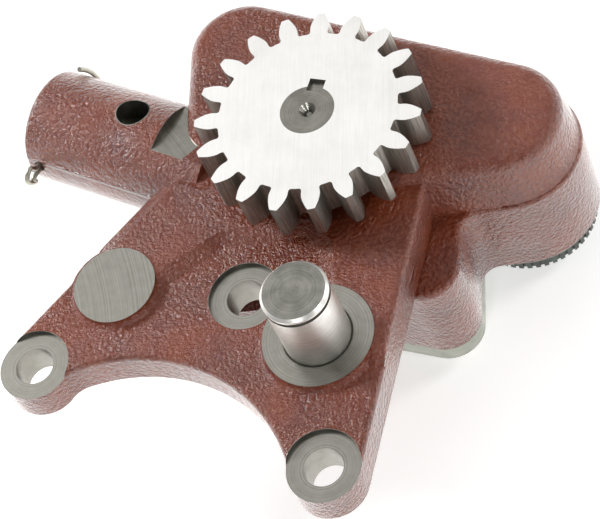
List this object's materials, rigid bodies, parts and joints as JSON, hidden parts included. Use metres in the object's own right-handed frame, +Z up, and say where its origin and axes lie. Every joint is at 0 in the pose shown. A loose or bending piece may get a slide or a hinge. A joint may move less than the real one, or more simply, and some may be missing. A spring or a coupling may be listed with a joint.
{
  "type": "engine oil pump",
  "caption": "Engine oil pump: red-brown cast housing and mounting plate with drive gear, idler shaft, relief valve tube and inlet strainer.",
  "frame": {"origin": "on the axis of the idler shaft, in the plane of its machined boss face", "axes": "+Z up along the shafts toward the gear side, +Y from the idler shaft to the drive shaft, +X toward the oil inlet"},
  "size_m": [0.1675, 0.1674, 0.0804],
  "materials": {
    "painted_casting": "red-brown primer over sand-cast iron, machined faces bare",
    "gear_steel": "ground on top, cut flanks",
    "shaft_steel": "turned steel",
    "rotor_steel": "ground sintered steel",
    "bare_iron": "faced grey iron",
    "plated_steel": "zinc-plated steel",
    "bronze": "bearing bronze",
    "polished_steel": "ground and polished",
    "dark_steel": "hardened steel, dark with oil",
    "strainer_finish": "black-green phosphated sheet",
    "gauze_wire": "woven wire mesh"
  },
  "bodies": {
    "housing": {"pump_body": "painted_casting", "end_cover": "bare_iron", "cover_screws": "plated_steel", "lock_washers": "plated_steel", "cover_dowels": "shaft_steel", "shaft_bush": "bronze", "cover_bush": "bronze", "idler_shaft": "polished_steel", "relief_spring": "dark_steel", "relief_spring_cap": "plated_steel", "relief_split_pin": "plated_steel", "strainer_rim": "strainer_finish", "strainer_gauze": "gauze_wire"},
    "drive_train": {"drive_gear": "gear_steel", "drive_shaft": "shaft_steel", "gear_key": "shaft_steel", "inner_rotor": "rotor_steel", "rotor_drive_pin": "shaft_steel"},
    "driven_rotor": {"outer_rotor": "rotor_steel"},
    "relief_valve": {"relief_plunger": "dark_steel"}
  },
  "joints": [
    {"name": "drive_spin", "type": "hinge", "parent": "housing", "child": "drive_train", "pos_m": [0, 0.0635, 0], "axis": [0, 0, 1], "continuous": true},
    {"name": "rotor_spin", "type": "hinge", "parent": "housing", "child": "driven_rotor", "pos_m": [0, 0.0667, 0], "axis": [0, 0, 1], "continuous": true},
    {"name": "relief_slide", "type": "slide", "parent": "housing", "child": "relief_valve", "axis": [-0.8949, 0.4462, 0], "range_m": [0, 0.009], "stiffness_N_per_m": 6000, "springref_m": -0.02, "deforming": ["relief_spring"]}
  ],
  "couplings": [
    {"joint": "rotor_spin", "follows": "drive_spin", "ratio": 0.8}
  ]
}
